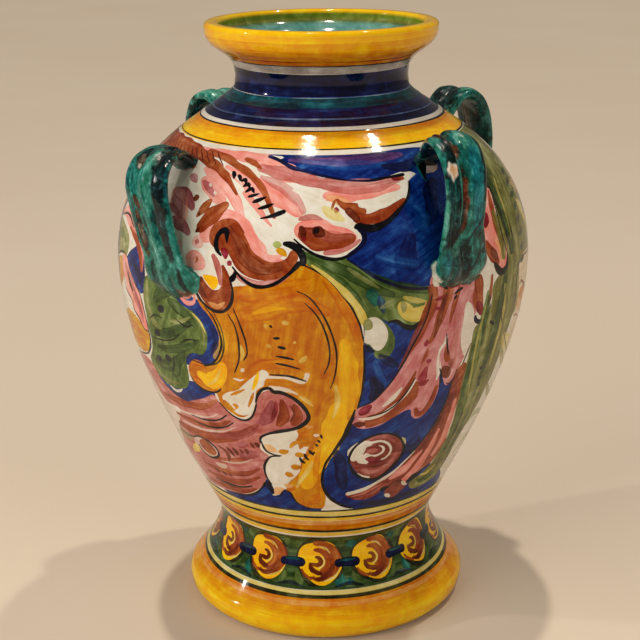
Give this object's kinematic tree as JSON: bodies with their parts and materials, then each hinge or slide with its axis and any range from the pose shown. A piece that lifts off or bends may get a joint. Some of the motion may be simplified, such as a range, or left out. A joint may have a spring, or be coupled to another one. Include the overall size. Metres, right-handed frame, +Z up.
{
  "type": "pottery vase",
  "caption": "Footed baluster vase of painted, tin-glazed pottery, with a flared collar and pulled strap handles round the shoulder.",
  "frame": {"origin": "centre of the ring that the foot stands on", "axes": "+Z up along the turning axis, -Y towards the front of the painted decoration, +X to the right of it"},
  "size_m": [0.173, 0.173, 0.25],
  "materials": {
    "painted_body": "white tin glaze painted with leaf scrolls in cobalt blue, ochre, rose, green and brown, glossy",
    "painted_foot": "yellow-orange glaze over a green band of painted beads, glossy",
    "painted_collar": "cobalt blue glaze with yellow, white and green bands, green inside the mouth, glossy",
    "handle_glaze": "mottled teal and dark green glaze, worn brown in the groove, glossy",
    "slip": "fired slip that lutes the pieces together, matt where bare"
  },
  "bodies": {
    "root": {"foot": "painted_foot", "foot_slip_joint": "slip", "body": "painted_body", "collar_slip_joint": "slip", "collar": "painted_collar", "handle_front_left": "handle_glaze", "handle_front_right": "handle_glaze", "handle_back_left": "handle_glaze", "handle_back_right": "handle_glaze", "handle_upper_slip_pads": "slip", "handle_lower_slip_pads": "slip"}
  },
  "joints": []
}
